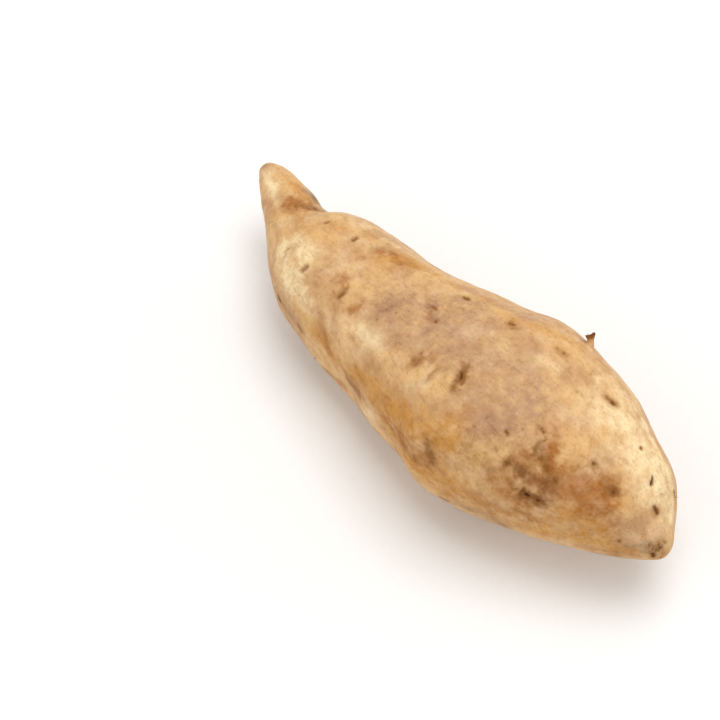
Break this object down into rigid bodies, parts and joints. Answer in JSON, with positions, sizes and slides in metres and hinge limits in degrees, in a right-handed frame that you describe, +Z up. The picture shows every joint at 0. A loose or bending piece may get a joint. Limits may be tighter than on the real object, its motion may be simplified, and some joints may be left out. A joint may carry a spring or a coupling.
{
  "type": "sweet potato",
  "caption": "Whole sweet potato lying on its belly: tapered neck with a fold, fat lumpy body with root eyes, corky ends and the torn stub of a side root.",
  "frame": {"origin": "under the middle of the root's box, on the surface it rests on", "axes": "+X along the root from the neck to the blunt end, +Z up, the side root's stub on the +Y side"},
  "size_m": [0.189, 0.069, 0.0631],
  "materials": {
    "skin": "golden tan root skin, satin, with pinkish brown stains and dark corky scars"
  },
  "bodies": {
    "root": {"sweet_potato": "skin"}
  },
  "joints": []
}
